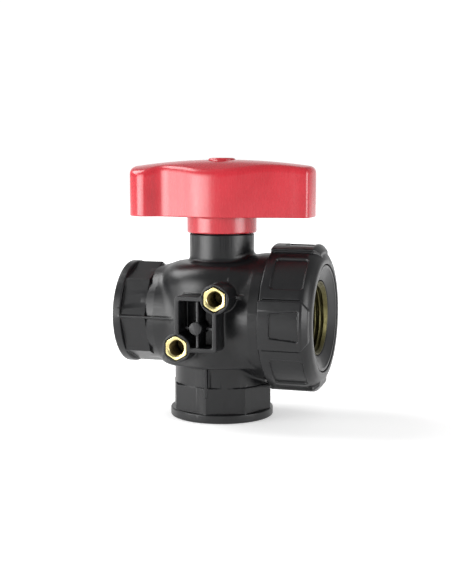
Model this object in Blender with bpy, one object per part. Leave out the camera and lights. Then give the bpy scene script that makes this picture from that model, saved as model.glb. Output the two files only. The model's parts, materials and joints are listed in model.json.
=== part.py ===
"""Three-way plastic ball valve with a wing handle, a union nut and two brass mounting inserts.

Written in millimetres about the ball's centre: X runs along the side ports towards the union
nut, Z runs up the stem, and -Y is the front, where the brass inserts are. place_all() scales
to metres and moves the model, so that the origin is the middle of its footprint.
"""

import math

import bmesh
import bpy
from mathutils import Matrix, Vector

# Ports: the left and the bottom one are alike
LEFT_FACE = 47.2            # ball centre to the left lip's face
BOTTOM_FACE = 49.2          # ball centre to the bottom lip's face
LIP_RADIUS = 25.0
LIP_THICK = 4.2
OCTAGON_CORNER = 24.7       # ball centre line to a corner of the spanner octagon
OCTAGON_LENGTH = 12.4
THREAD_MINOR = 15.2         # G1 female thread, minor radius
THREAD_MAJOR = 16.6
BORE = 10.5                 # flow passage radius

# Housing
NECK_LEFT = 24.2
NECK_BOTTOM = 22.8
BARREL_RADIUS = 29.5
BARREL_TOP = 26.0
BARREL_BOTTOM = -22.5
FLARE_RADIUS = 30.2
FLARE_END = 26.8
SPIGOT_RADIUS = 29.2
SPIGOT_END = 41.0
STEM_NECK_RADIUS = 15.6
STEM_NECK_TOP = 39.2

# Front pocket and inserts
PANEL_FACE = 39.4           # ball centre to the plane of the mounting face
POCKET_LEFT, POCKET_RIGHT = -10.0, 10.2
POCKET_LOW, POCKET_HIGH = -13.0, 12.6
POCKET_WALL = 2.1
POCKET_FLOOR = 25.6
INSERT_SPOTS = {"mounting_insert_upper": (9.2, 11.6), "mounting_insert_lower": (-9.2, -11.4)}
INSERT_ACROSS_FLATS = 10.0
INSERT_HOLE = 3.4
INSERT_LENGTH = 15.0
BOSS_RADIUS = 6.8

# Ball, seats and stem
BALL_RADIUS = 20.5
CAVITY = 21.0
GAP = 0.3
SEAT_OUTER = 14.2
SEAT_BACK = 21.7
SEAT_NECK = 11.9
SEAT_SHOULDER = 19.1
SEAT_POCKET = 14.6
SEAT_FLOOR = 22.0
SLOT_HALF = 4.0
SLOT_FLOOR = 16.0
STEM_RADIUS = 8.0
STEM_BORE = 8.3
STEM_FLANGE_RADIUS = 10.4
STEM_FLANGE = (21.5, 24.0)
WASHER_SPAN = (24.3, 25.1)
FLANGE_POCKET = (10.9, 25.4)
STEM_RING_HEIGHTS = {"stem_o_ring_lower": 29.5, "stem_o_ring_upper": 34.5}
STEM_SQUARE = 5.6
STEM_TOP = 61.0

# Union nut and end connector
NUT_BACK, NUT_FACE = 27.7, 51.7
NUT_RADIUS = 33.6
NUT_PAD_RADIUS = 35.0
NUT_PAD_HALF_ANGLE = 19.0
NUT_PAD_END = 50.8
NUT_PAD_BEVEL = 2.6
NUT_THREAD = 29.6
NUT_OPENING = 25.6
NUT_SHOULDER = 46.5
CONNECTOR_NOSE = 20.7
CONNECTOR_START = 15.0
CONNECTOR_FLANGE = 28.3
CONNECTOR_NECK = 25.2
CONNECTOR_END = 51.3
SLEEVE_OUTER = 17.6
SLEEVE_SPAN = (29.8, 48.6)

# Handle
HANDLE_LOW = 47.4
HANDLE_CROWN = 74.6
COLLAR_LOW = 39.7
COLLAR_RADIUS = 16.8
HANDLE_WALL = 2.8
STOP_HALF_ANGLE = 80.0      # the body's stop is a 160 degree arc
LUG_HALF_ANGLE = 9.0
# Right half of the outline seen from above, as (x, y); the left half is this turned half way
HANDLE_OUTLINE = (
    (0.0, -19.6), (6.0, -19.2), (12.0, -17.6), (18.0, -15.2), (24.0, -12.7), (30.0, -10.9),
    (36.0, -10.2), (41.5, -10.0), (44.4, -8.8), (45.3, -5.5), (45.4, 0.0), (45.1, 5.0),
    (44.0, 9.4), (41.6, 12.8), (38.0, 15.3), (34.2, 15.9), (31.4, 14.8), (29.0, 13.4),
    (26.6, 12.8), (23.6, 13.1), (19.6, 14.4), (14.0, 16.4), (7.0, 18.8),
)

ROUND_FINE, ROUND, ROUND_SMALL = 56, 40, 24
WELD = 0.0005

COLOURS = {
    "black_plastic": ((0.045, 0.047, 0.052), 0.45, 0.0),
    "red_plastic": ((0.68, 0.06, 0.08), 0.35, 0.0),
    "brass": ((0.85, 0.72, 0.36), 0.3, 1.0),
    "steel": ((0.6, 0.6, 0.62), 0.3, 1.0),
    "rubber": ((0.02, 0.02, 0.02), 0.7, 0.0),
    "white_plastic": ((0.85, 0.84, 0.8), 0.5, 0.0),
}


def material(name):
    found = bpy.data.materials.get(name)
    if found:
        return found
    colour, roughness, metallic = COLOURS[name]
    made = bpy.data.materials.new(name)
    made.use_nodes = True
    shader = made.node_tree.nodes["Principled BSDF"]
    shader.inputs["Base Color"].default_value = (*colour, 1.0)
    shader.inputs["Roughness"].default_value = roughness
    shader.inputs["Metallic"].default_value = metallic
    return made


def to_object(name, bm):
    bmesh.ops.recalc_face_normals(bm, faces=bm.faces)
    mesh = bpy.data.meshes.new(name)
    bm.to_mesh(mesh)
    bm.free()
    made = bpy.data.objects.new(name, mesh)
    bpy.context.scene.collection.objects.link(made)
    return made


def turned(axis, radius, angle, along):
    """A point at this radius and angle about an axis, at this distance along it."""
    a, b = radius * math.cos(angle), radius * math.sin(angle)
    if axis == "X":
        return Vector((along, a, b))
    if axis == "Y":
        return Vector((b, along, a))
    return Vector((a, b, along))


def revolve(name, axis, profile, segments=ROUND, centre=(0, 0, 0)):
    """A solid of revolution from a closed profile of (radius, along); radius 0 is a pole."""
    bm = bmesh.new()
    rings = []
    for radius, along in profile:
        if radius == 0:
            rings.append([bm.verts.new(turned(axis, 0, 0, along))])
            continue
        step = 2 * math.pi / segments
        rings.append([bm.verts.new(turned(axis, radius, i * step, along)) for i in range(segments)])
    for first, second in zip(rings, rings[1:] + rings[:1]):
        if len(first) == 1 and len(second) == 1:
            continue
        for i in range(segments):
            j = (i + 1) % segments
            corners = [first[0]] if len(first) == 1 else [first[i], first[j]]
            corners += [second[0]] if len(second) == 1 else [second[j], second[i]]
            bm.faces.new(corners)
    bmesh.ops.translate(bm, verts=bm.verts, vec=Vector(centre))
    return to_object(name, bm)


def rod(name, axis, radius, low, high, segments=ROUND, centre=(0, 0, 0)):
    return revolve(name, axis, [(0, low), (radius, low), (radius, high), (0, high)], segments, centre)


def ring(name, axis, inner, outer, low, high, segments=ROUND):
    return revolve(name, axis, [(inner, low), (outer, low), (outer, high), (inner, high)], segments)


def torus(name, axis, middle, wire, along):
    turn = [2 * math.pi * i / 8 for i in range(8)]
    profile = [(middle + wire * math.cos(t), along + wire * math.sin(t)) for t in turn]
    return revolve(name, axis, profile, ROUND_SMALL)


def round_end(radius, high, steps=14):
    """Profile of a rod that starts as half a sphere about zero and runs flat-ended to high."""
    turn = [math.pi / 2 * i / steps for i in range(steps + 1)]
    profile = [(radius * math.sin(t), -radius * math.cos(t)) for t in turn]
    return [(0, -radius)] + profile[1:] + [(radius, high), (0, high)]


def sphere(name, radius, segments=ROUND, rings=20):
    turn = [math.pi * i / rings for i in range(rings + 1)]
    profile = [(max(radius * math.sin(t), 0), -radius * math.cos(t)) for t in turn]
    profile[0], profile[-1] = (0, -radius), (0, radius)
    return revolve(name, "Z", profile, segments)


def block(name, low, high):
    bm = bmesh.new()
    bmesh.ops.create_cube(bm, size=1.0)
    size = [b - a for a, b in zip(low, high)]
    middle = [(a + b) / 2 for a, b in zip(low, high)]
    bmesh.ops.scale(bm, verts=bm.verts, vec=size)
    bmesh.ops.translate(bm, verts=bm.verts, vec=middle)
    return to_object(name, bm)


def prism(name, axis, outline, low, high):
    """A flat outline drawn out along an axis: (y, z) for X, (x, z) for Y and (x, y) for Z."""
    bm = bmesh.new()
    lift = {
        "X": lambda p, along: (along, p[0], p[1]),
        "Y": lambda p, along: (p[0], along, p[1]),
        "Z": lambda p, along: (p[0], p[1], along),
    }[axis]
    first = [bm.verts.new(lift(p, low)) for p in outline]
    second = [bm.verts.new(lift(p, high)) for p in outline]
    bm.faces.new(first)
    bm.faces.new(second)
    for i in range(len(outline)):
        j = (i + 1) % len(outline)
        bm.faces.new([first[i], first[j], second[j], second[i]])
    return to_object(name, bm)


def polygon(corner, count, start=0.0):
    turn = [start + 2 * math.pi * i / count for i in range(count)]
    return [(corner * math.cos(t), corner * math.sin(t)) for t in turn]


def sector(name, inner, outer, low, high, start, end, steps):
    """Part of a flat ring about Z, between two angles in degrees."""
    turn = [math.radians(start + (end - start) * i / steps) for i in range(steps + 1)]
    outline = [(outer * math.cos(t), outer * math.sin(t)) for t in turn]
    outline += [(inner * math.cos(t), inner * math.sin(t)) for t in reversed(turn)]
    return prism(name, "Z", outline, low, high)


def weld(mesh):
    """Joins points that a Boolean left side by side, and says whether the mesh is closed."""
    bm = bmesh.new()
    bm.from_mesh(mesh)
    bmesh.ops.remove_doubles(bm, verts=bm.verts, dist=WELD)
    bmesh.ops.dissolve_degenerate(bm, edges=bm.edges, dist=WELD)
    closed = all(len(edge.link_faces) == 2 for edge in bm.edges)
    bm.to_mesh(mesh)
    bm.free()
    return closed


def solved(target, operation, tool, solver):
    """The mesh that one Boolean leaves."""
    step = target.modifiers.new(operation.title(), "BOOLEAN")
    step.operation = operation
    step.solver = solver
    step.object = tool
    bpy.context.view_layer.update()
    graph = bpy.context.evaluated_depsgraph_get()
    mesh = bpy.data.meshes.new_from_object(target.evaluated_get(graph))
    target.modifiers.clear()
    return mesh


def combine(target, operation, *tools):
    """Joins or cuts at once, then removes the tools. The manifold solver takes over where exact leaves a hole."""
    for tool in tools:
        mesh = solved(target, operation, tool, "EXACT")
        if not weld(mesh):
            mesh = solved(target, operation, tool, "MANIFOLD")
            weld(mesh)
        target.data = mesh
        bpy.data.objects.remove(tool, do_unlink=True)
    return target


def finish(made, finish_name):
    """Names the mesh after its object, gives it its material and shades round faces smooth."""
    made.data.name = made.name
    made.data.materials.clear()
    made.data.materials.append(material(finish_name))
    bm = bmesh.new()
    bm.from_mesh(made.data)
    bmesh.ops.remove_doubles(bm, verts=bm.verts, dist=WELD)
    bmesh.ops.triangulate(bm, faces=bm.faces)
    bm.to_mesh(made.data)
    bm.free()
    made.data.shade_smooth()
    made.data.set_sharp_from_angle(angle=math.radians(30))
    return made


# ---------------------------------------------------------------- housing


def port_outside(axis, face):
    """Lip and spanner octagon of a port that faces the axis's low end."""
    lip_in = -face + LIP_THICK
    lip = revolve(
        "lip", axis,
        [(0, -face), (LIP_RADIUS - 0.6, -face), (LIP_RADIUS, -face + 0.6),
         (LIP_RADIUS, lip_in - 0.5), (LIP_RADIUS - 0.5, lip_in), (0, lip_in)],
        ROUND_FINE,
    )
    corners = polygon(OCTAGON_CORNER, 8)
    octagon = prism("octagon", axis, corners, lip_in - 0.2, lip_in + OCTAGON_LENGTH)
    return combine(lip, "UNION", octagon)


def port_inside(axis, face):
    """Threaded socket, passage and seat pocket behind a port that faces the axis's low end."""
    return revolve(
        "port_inside", axis,
        [(0, -face - 1), (THREAD_MAJOR + 1.6, -face - 1), (THREAD_MAJOR + 0.6, -face),
         (THREAD_MINOR, -face + 2.0), (THREAD_MINOR, -25.2), (BORE, -25.2), (BORE, -SEAT_FLOOR),
         (SEAT_POCKET, -SEAT_FLOOR), (SEAT_POCKET, -6.0), (0, -6.0)],
        ROUND,
    )


def barrel():
    """Upright barrel round the ball, with a domed shoulder."""
    dome = 11.0
    profile = [(0, BARREL_BOTTOM), (BARREL_RADIUS - 1.5, BARREL_BOTTOM), (BARREL_RADIUS, BARREL_BOTTOM + 1.5)]
    for i in range(9):
        t = math.radians(90 * i / 8)
        profile.append((BARREL_RADIUS - dome + dome * math.cos(t), BARREL_TOP - dome + dome * math.sin(t)))
    profile.append((0, BARREL_TOP))
    return revolve("valve_body", "Z", profile, ROUND_FINE)


def side_tube():
    """Left neck, flare towards the nut and the spigot that the nut screws on."""
    return revolve(
        "side_tube", "X",
        [(0, -34.0), (NECK_LEFT, -34.0), (NECK_LEFT, -8.0), (26.4, 2.0), (28.4, 11.0),
         (29.9, 19.0), (FLARE_RADIUS, 22.0), (FLARE_RADIUS, FLARE_END), (SPIGOT_RADIUS, FLARE_END),
         (SPIGOT_RADIUS, SPIGOT_END - 1.0), (SPIGOT_RADIUS - 1.0, SPIGOT_END), (0, SPIGOT_END)],
        ROUND_FINE,
    )


def rounded_rectangle(low_x, high_x, low_z, high_z, radius, steps=4):
    outline = []
    corners = ((high_x, high_z, 0), (low_x, high_z, 90), (low_x, low_z, 180), (high_x, low_z, 270))
    for x, z, start in corners:
        cx = x - math.copysign(radius, x)
        cz = z - math.copysign(radius, z)
        for i in range(steps + 1):
            t = math.radians(start + 90 * i / steps)
            outline.append((cx + radius * math.cos(t), cz + radius * math.sin(t)))
    return outline


def front_block():
    """Open-fronted pocket with its ribs and post, and the bosses of the two inserts."""
    back = 16.0
    outline = rounded_rectangle(POCKET_LEFT, POCKET_RIGHT, POCKET_LOW, POCKET_HIGH, 2.0)
    frame = prism("front_block", "Y", outline, -PANEL_FACE, -back)
    inner = rounded_rectangle(
        POCKET_LEFT + POCKET_WALL, POCKET_RIGHT - POCKET_WALL,
        POCKET_LOW + POCKET_WALL, POCKET_HIGH - POCKET_WALL, 0.8,
    )
    combine(frame, "DIFFERENCE", prism("hollow", "Y", inner, -PANEL_FACE - 1, -POCKET_FLOOR))
    upright = block("upright", (0.4, -PANEL_FACE + 0.3, POCKET_LOW + 1), (1.6, -back, POCKET_HIGH - 1))
    post = rod("post", "Y", 3.0, -PANEL_FACE, -back, 24, (0.2, 0, -2.0))
    web_left = block("web_left", (-5.5, -PANEL_FACE + 1.6, -2.6), (0.2, -back, -1.4))
    web_right = block("web_right", (4.6, -PANEL_FACE + 1.0, -2.6), (9.0, -back, -1.4))
    combine(frame, "UNION", upright, post, web_left, web_right)
    for x, z in INSERT_SPOTS.values():
        combine(frame, "UNION", rod("boss", "Y", BOSS_RADIUS, -PANEL_FACE + 0.4, -back, 40, (x, 0, z)))
    return frame


def gussets():
    """Two short ribs that brace the upper boss against the shoulder."""
    x, z = INSERT_SPOTS["mounting_insert_upper"]
    tall = prism("tall", "X", [(-33.5, z), (-20, z), (-12, 24.5), (-21.5, 24.5)], x + 0.4, x + 2.0)
    flat = prism("flat", "Z", [(x, -33.5), (x + 12.5, -25.5), (x + 12.5, -18), (x, -18)], z - 0.8, z + 0.8)
    return tall, flat


def hexagon(across_flats, grow=0.0):
    corner = (across_flats / 2 + grow) / math.cos(math.pi / 6)
    return polygon(corner, 6, math.pi / 2)


def moved(outline, x, z):
    return [(a + x, b + z) for a, b in outline]


def make_body():
    body = combine(barrel(), "UNION", side_tube())
    combine(body, "UNION", rod("bottom_neck", "Z", NECK_BOTTOM, -40.0, -5.0, ROUND_FINE))
    neck = [(0, 10), (STEM_NECK_RADIUS, 10), (STEM_NECK_RADIUS, STEM_NECK_TOP - 0.5),
            (STEM_NECK_RADIUS - 0.5, STEM_NECK_TOP), (0, STEM_NECK_TOP)]
    combine(body, "UNION", revolve("stem_neck", "Z", neck, ROUND))
    combine(body, "UNION", port_outside("X", LEFT_FACE), port_outside("Z", BOTTOM_FACE))
    combine(body, "UNION", front_block())
    combine(body, "UNION", *gussets())
    low_rib = block("low_rib", (-0.75, -24.9, -37.0), (0.75, -15, POCKET_LOW + 1))
    side_rib = block("side_rib", (-LEFT_FACE + 3, -25.0, -0.6), (-18, -20, 0.6))
    stop_arc = sector("stop_arc", 10.2, 13.3, 38.0, 42.6, 270 - STOP_HALF_ANGLE, 270 + STOP_HALF_ANGLE, 16)
    combine(body, "UNION", low_rib, side_rib, stop_arc)
    cavity = revolve("cavity", "X", round_end(CAVITY, SPIGOT_END + 1))
    combine(body, "DIFFERENCE", cavity, port_inside("X", LEFT_FACE), port_inside("Z", BOTTOM_FACE))
    pocket_radius, pocket_top = FLANGE_POCKET
    stem_way = revolve(
        "stem_way", "Z",
        [(0, 12), (pocket_radius, 12), (pocket_radius, pocket_top), (STEM_BORE, pocket_top),
         (STEM_BORE, STEM_NECK_TOP - 0.8), (STEM_BORE + 1.0, STEM_NECK_TOP + 0.2), (0, STEM_NECK_TOP + 0.2)],
    )
    combine(body, "DIFFERENCE", stem_way)
    for x, z in INSERT_SPOTS.values():
        outline = moved(hexagon(INSERT_ACROSS_FLATS, GAP), x, z)
        seat = prism("seat", "Y", outline, -PANEL_FACE - 1, -PANEL_FACE + INSERT_LENGTH + GAP)
        combine(body, "DIFFERENCE", seat)
    return finish(body, "black_plastic")


def make_inserts():
    for name, (x, z) in INSERT_SPOTS.items():
        outline = moved(hexagon(INSERT_ACROSS_FLATS), x, z)
        insert = prism(name, "Y", outline, -PANEL_FACE, -PANEL_FACE + INSERT_LENGTH)
        mouth = revolve(
            "mouth", "Y",
            [(0, -PANEL_FACE - 1), (INSERT_HOLE + 1.6, -PANEL_FACE - 1), (INSERT_HOLE, -PANEL_FACE + 0.6),
             (INSERT_HOLE, -PANEL_FACE + 12.0), (0, -PANEL_FACE + 13.5)],
            ROUND_SMALL, (x, 0, z),
        )
        finish(combine(insert, "DIFFERENCE", mouth), "brass")


# ---------------------------------------------------------------- ball, seats and stem


def make_seat(name, axis, side):
    """Seat ring, and the rubber ring that presses it on the ball. side is -1 or 1 along axis."""
    start = 14.5
    rest = [(BORE + 0.2, side * start), (SEAT_OUTER, side * start), (SEAT_OUTER, side * SEAT_SHOULDER),
            (SEAT_NECK, side * SEAT_SHOULDER), (SEAT_NECK, side * SEAT_BACK), (BORE + 0.2, side * SEAT_BACK)]
    seat = revolve(name, axis, rest)
    combine(seat, "DIFFERENCE", sphere("seat_face", BALL_RADIUS + GAP))
    finish(seat, "white_plastic")
    finish(torus(name + "_o_ring", axis, 13.15, 1.0, side * 20.4), "rubber")


def make_ball():
    ball = sphere("ball", BALL_RADIUS)
    elbow = revolve("elbow", "X", round_end(BORE, BALL_RADIUS + 1, 8), ROUND_SMALL)
    combine(elbow, "UNION", rod("down", "Z", BORE + 0.15, -BALL_RADIUS - 1, 3.0, ROUND_SMALL))
    slot = block("slot", (-BALL_RADIUS, -SLOT_HALF, SLOT_FLOOR), (BALL_RADIUS, SLOT_HALF, BALL_RADIUS + 1))
    finish(combine(ball, "DIFFERENCE", elbow, slot), "white_plastic")


def make_stem():
    low, high = STEM_FLANGE
    profile = [(0, low), (STEM_FLANGE_RADIUS, low), (STEM_FLANGE_RADIUS, high), (STEM_RADIUS, high)]
    for middle in STEM_RING_HEIGHTS.values():
        profile += [(STEM_RADIUS, middle - 1.3), (6.4, middle - 1.3), (6.4, middle + 1.3), (STEM_RADIUS, middle + 1.3)]
    profile += [(STEM_RADIUS, STEM_NECK_TOP), (0, STEM_NECK_TOP)]
    stem = revolve("stem", "Z", profile)
    half = SLOT_HALF - GAP
    tang = block("tang", (-9.0, -half, SLOT_FLOOR + GAP), (9.0, half, low + 1))
    square = block("square", (-STEM_SQUARE, -STEM_SQUARE, STEM_NECK_TOP - 2), (STEM_SQUARE, STEM_SQUARE, STEM_TOP))
    combine(stem, "UNION", tang, square)
    combine(stem, "DIFFERENCE", rod("thread", "Z", 3.2, 46.5, STEM_TOP + 1, ROUND_SMALL))
    finish(stem, "brass")
    finish(ring("stem_thrust_washer", "Z", STEM_BORE, STEM_FLANGE_RADIUS, *WASHER_SPAN), "white_plastic")
    for name, middle in STEM_RING_HEIGHTS.items():
        finish(torus(name, "Z", 7.35, 0.8, middle), "rubber")


# ---------------------------------------------------------------- union


def make_connector():
    nose, groove = CONNECTOR_NOSE, 24.5
    profile = [
        (nose - 0.6, CONNECTOR_START), (nose, CONNECTOR_START + 0.6), (nose, groove - 1.4),
        (18.7, groove - 1.4), (18.7, groove + 1.4), (nose, groove + 1.4), (nose, SPIGOT_END + GAP),
        (CONNECTOR_FLANGE, SPIGOT_END + GAP), (CONNECTOR_FLANGE, NUT_SHOULDER - GAP),
        (CONNECTOR_NECK, NUT_SHOULDER - GAP), (CONNECTOR_NECK, CONNECTOR_END - 0.4),
        (CONNECTOR_NECK - 0.4, CONNECTOR_END), (23.6, CONNECTOR_END), (SLEEVE_OUTER + 0.6, 48.9),
        (SLEEVE_OUTER + GAP, 48.6), (SLEEVE_OUTER + GAP, SLEEVE_SPAN[0] - GAP),
        (THREAD_MINOR, SLEEVE_SPAN[0] - GAP), (THREAD_MINOR, 27.0), (BORE, 27.0),
        (BORE, SEAT_FLOOR), (SEAT_POCKET, SEAT_FLOOR), (SEAT_POCKET, CONNECTOR_START),
    ]
    finish(revolve("end_connector", "X", profile, ROUND_FINE), "black_plastic")
    finish(torus("connector_o_ring", "X", 19.75, 0.9, groove), "rubber")
    low, high = SLEEVE_SPAN
    sleeve = [(THREAD_MINOR, low), (SLEEVE_OUTER, low), (SLEEVE_OUTER, high - 0.3), (SLEEVE_OUTER - 0.3, high),
              (THREAD_MAJOR + 0.2, high), (THREAD_MINOR, high - 1.4)]
    finish(revolve("brass_thread_sleeve", "X", sleeve), "brass")


def nut_pad(turn):
    """One raised grip pad, about X, its right end sloping down to the nut's face."""
    half = math.radians(NUT_PAD_HALF_ANGLE)
    steps = 8
    bm = bmesh.new()
    rows = []
    root = NUT_RADIUS - 2.0
    stations = (
        (NUT_BACK, NUT_PAD_RADIUS, root), (NUT_PAD_END - NUT_PAD_BEVEL, NUT_PAD_RADIUS, root),
        (NUT_PAD_END, NUT_RADIUS - 1.6, root - 3.0),
    )
    for x, outer, inner in stations:
        row = []
        for radius, spread in ((outer, half), (inner, half * 1.05)):
            angles = [turn - spread + 2 * spread * i / steps for i in range(steps + 1)]
            points = [bm.verts.new(turned("X", radius, a, x)) for a in angles]
            row += points if radius == outer else points[::-1]
        rows.append(row)
    for first, second in zip(rows, rows[1:]):
        for i in range(len(first)):
            j = (i + 1) % len(first)
            bm.faces.new([first[i], first[j], second[j], second[i]])
    bm.faces.new(rows[0])
    bm.faces.new(rows[-1])
    return to_object("pad", bm)


def make_nut():
    profile = [
        (NUT_THREAD, NUT_BACK), (NUT_RADIUS - 0.8, NUT_BACK), (NUT_RADIUS, NUT_BACK + 0.8),
        (NUT_RADIUS, 47.0), (NUT_RADIUS - 1.6, 49.6), (28.4, NUT_FACE), (NUT_OPENING + 0.5, NUT_FACE),
        (NUT_OPENING, NUT_FACE - 0.6), (NUT_OPENING, NUT_SHOULDER), (NUT_THREAD, NUT_SHOULDER),
    ]
    nut = revolve("union_nut", "X", profile, ROUND_FINE)
    for i in range(4):
        combine(nut, "UNION", nut_pad(math.radians(90 * i)))
    finish(nut, "black_plastic")


# ---------------------------------------------------------------- handle


def smooth_loop(points, steps):
    """A closed Catmull-Rom curve through the points."""
    count = len(points)
    curve = []
    for i in range(count):
        a, b, c, d = (Vector(points[(i + k) % count]) for k in (-1, 0, 1, 2))
        for k in range(steps):
            t = k / steps
            curve.append(
                0.5 * (2 * b + (c - a) * t + (2 * a - 5 * b + 4 * c - d) * t ** 2 + (3 * b - a - 3 * c + d) * t ** 3)
            )
    return curve


def inset(curve, distance):
    """The closed curve moved inwards by this distance."""
    count = len(curve)
    moved_points = []
    for i, point in enumerate(curve):
        along = (curve[(i + 1) % count] - curve[i - 1]).normalized()
        moved_points.append(point + Vector((-along.y, along.x)) * distance)
    return moved_points


def crown(point):
    """Height of the domed top over a point of the handle's plan."""
    return HANDLE_CROWN - 0.0150 * point.y ** 2 - 0.0016 * point.x ** 2


def make_handle():
    whole = HANDLE_OUTLINE + tuple((-x, -y) for x, y in HANDLE_OUTLINE)
    curve = smooth_loop(whole, 2)
    bm = bmesh.new()
    levels = [(0.5, 0.0, 0.0), (0.0, 0.5, 0.0), (0.0, None, 1.4), (0.5, None, 0.4), (1.6, None, 0.0)]
    rings = []
    for distance, rise, drop in levels:
        points = inset(curve, distance)
        heights = [HANDLE_LOW + rise if rise is not None else crown(p) - drop for p in points]
        rings.append([bm.verts.new((p.x, p.y, z)) for p, z in zip(points, heights)])
    for shrink in (0.72, 0.45, 0.2):
        points = [p * shrink for p in inset(curve, 1.6)]
        rings.append([bm.verts.new((p.x, p.y, crown(p))) for p in points])
    for first, second in zip(rings, rings[1:]):
        for i in range(len(first)):
            j = (i + 1) % len(first)
            bm.faces.new([first[i], first[j], second[j], second[i]])
    bm.faces.new(rings[0])
    bm.faces.new(rings[-1])
    handle = to_object("handle", bm)
    hollow = prism("hollow", "Z", inset(curve, HANDLE_WALL), HANDLE_LOW - 1, 65.5)
    ribs = [block("rib", (x - 0.9, -25, 40), (x + 0.9, 25, 70)) for x in (-36, -26.5, -17, 17, 26.5, 36)]
    ribs.append(block("rib", (-50, -0.9, 40), (50, 0.9, 70)))
    ribs.append(rod("hub", "Z", COLLAR_RADIUS - 0.8, 40, 70))
    combine(hollow, "DIFFERENCE", *ribs)
    combine(handle, "DIFFERENCE", hollow)
    collar = revolve(
        "collar", "Z",
        [(0, COLLAR_LOW), (COLLAR_RADIUS - 0.6, COLLAR_LOW), (COLLAR_RADIUS, COLLAR_LOW + 0.6),
         (COLLAR_RADIUS, HANDLE_LOW + 1), (0, HANDLE_LOW + 1)],
    )
    combine(handle, "UNION", collar)
    moat = ring("moat", "Z", 9.6, 13.9, COLLAR_LOW - 1, 43.2)
    lug = sector("lug", 9.0, 14.5, COLLAR_LOW - 2, 44.0, -LUG_HALF_ANGLE, LUG_HALF_ANGLE, 3)
    combine(moat, "DIFFERENCE", lug)
    side = STEM_SQUARE + GAP
    socket = block("socket", (-side, -side, COLLAR_LOW - 1), (side, side, STEM_TOP + GAP))
    screw_way = revolve("screw_way", "Z", [(0, 55), (3.3, 55), (3.3, 65.5), (7.0, 65.5), (7.0, 80), (0, 80)])
    combine(handle, "DIFFERENCE", moat, socket, screw_way)
    finish(handle, "red_plastic")


def make_handle_fixings():
    head = revolve(
        "handle_screw", "Z",
        [(0, 48.0), (2.3, 48.0), (2.9, 48.8), (2.9, 67.3), (5.0, 67.3), (5.0, 69.4), (4.0, 70.6), (0, 70.9)],
        ROUND_SMALL,
    )
    combine(head, "DIFFERENCE", prism("key", "Z", polygon(2.4, 6), 69.0, 72.0))
    finish(head, "steel")
    finish(ring("handle_washer", "Z", 3.3, 6.4, 65.8, 67.0, ROUND_SMALL), "steel")
    cap = [(0, 73.6), (5.6, 73.6), (5.6, 71.4), (6.6, 71.4), (6.6, 74.6), (6.0, 75.3), (3.4, 75.4),
           (2.6, 74.9), (0, 74.8)]
    finish(revolve("handle_cap", "Z", cap, 40), "red_plastic")


def place_all():
    """Millimetres to metres, with the origin under the middle of the whole valve."""
    middle_x = (NUT_FACE - LEFT_FACE) / 2
    middle_y = (NUT_PAD_RADIUS - PANEL_FACE) / 2
    shift = Matrix.Translation(Vector((-middle_x, -middle_y, BOTTOM_FACE)) * 0.001)
    for made in bpy.context.scene.objects:
        made.data.transform(Matrix.Scale(0.001, 4))
        made.matrix_world = shift


for old in list(bpy.data.objects):
    bpy.data.objects.remove(old, do_unlink=True)
make_body()
make_inserts()
make_seat("seat_left", "X", -1)
make_seat("seat_right", "X", 1)
make_seat("seat_bottom", "Z", -1)
make_ball()
make_stem()
make_connector()
make_nut()
make_handle()
make_handle_fixings()
place_all()
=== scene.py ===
"""Looks of the three-way ball valve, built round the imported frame.

Shapes are written in millimetres about the ball's centre, as in the CAD: X along the side
ports, Z up the stem, -Y to the front. The moulded pieces are distance fields, so that their
fillets are real geometry: each field is sampled on a grid and its surface is meshed.
"""

import json
import math

import bmesh
import bpy
import numpy as np
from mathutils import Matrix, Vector


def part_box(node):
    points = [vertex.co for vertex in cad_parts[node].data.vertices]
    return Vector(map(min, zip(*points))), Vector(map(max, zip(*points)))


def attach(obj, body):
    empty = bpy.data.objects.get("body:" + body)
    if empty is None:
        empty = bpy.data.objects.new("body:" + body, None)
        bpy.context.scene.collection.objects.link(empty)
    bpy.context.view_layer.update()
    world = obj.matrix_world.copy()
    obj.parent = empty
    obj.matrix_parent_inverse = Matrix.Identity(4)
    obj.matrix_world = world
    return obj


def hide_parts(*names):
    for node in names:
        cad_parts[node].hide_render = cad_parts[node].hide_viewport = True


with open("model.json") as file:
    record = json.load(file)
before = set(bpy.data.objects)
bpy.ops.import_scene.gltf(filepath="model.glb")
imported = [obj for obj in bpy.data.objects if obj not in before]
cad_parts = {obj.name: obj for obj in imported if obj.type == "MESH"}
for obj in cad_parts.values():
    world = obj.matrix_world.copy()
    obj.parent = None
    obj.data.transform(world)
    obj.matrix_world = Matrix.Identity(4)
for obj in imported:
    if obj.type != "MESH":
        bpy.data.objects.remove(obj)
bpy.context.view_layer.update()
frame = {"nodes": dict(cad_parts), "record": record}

JOINTS = {joint["name"]: joint for joint in frame["record"]["behaviour"]["joints"]}
STEM_AT = JOINTS["handle_turn"]["pos_m"]
UNION_AT = JOINTS["nut_turn"]["pos_m"]
CENTRE = np.array([STEM_AT[0], STEM_AT[1], UNION_AT[2]])
MM = 0.001


def side_of(node, axis, high):
    """A side of a CAD node's box, in millimetres from the ball's centre."""
    return (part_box(node)[1 if high else 0][axis] - CENTRE[axis]) / MM


# Sizes that the CAD gives
LEFT_FACE = side_of("valve_body", 0, False)
BOTTOM_FACE = side_of("valve_body", 2, False)
SPIGOT_END = side_of("valve_body", 0, True)
PANEL_FACE = side_of("mounting_insert_upper", 1, False)
NUT_BACK = side_of("union_nut", 0, False)
NUT_FACE = side_of("union_nut", 0, True)
NUT_PAD_RADIUS = side_of("union_nut", 2, True)
COLLAR_LOW = side_of("handle", 2, False)
CONNECTOR_END = side_of("end_connector", 0, True)
INSERTS = {
    name: (
        (side_of(name, 0, False) + side_of(name, 0, True)) / 2,
        (side_of(name, 2, False) + side_of(name, 2, True)) / 2,
    )
    for name in ("mounting_insert_upper", "mounting_insert_lower")
}

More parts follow.
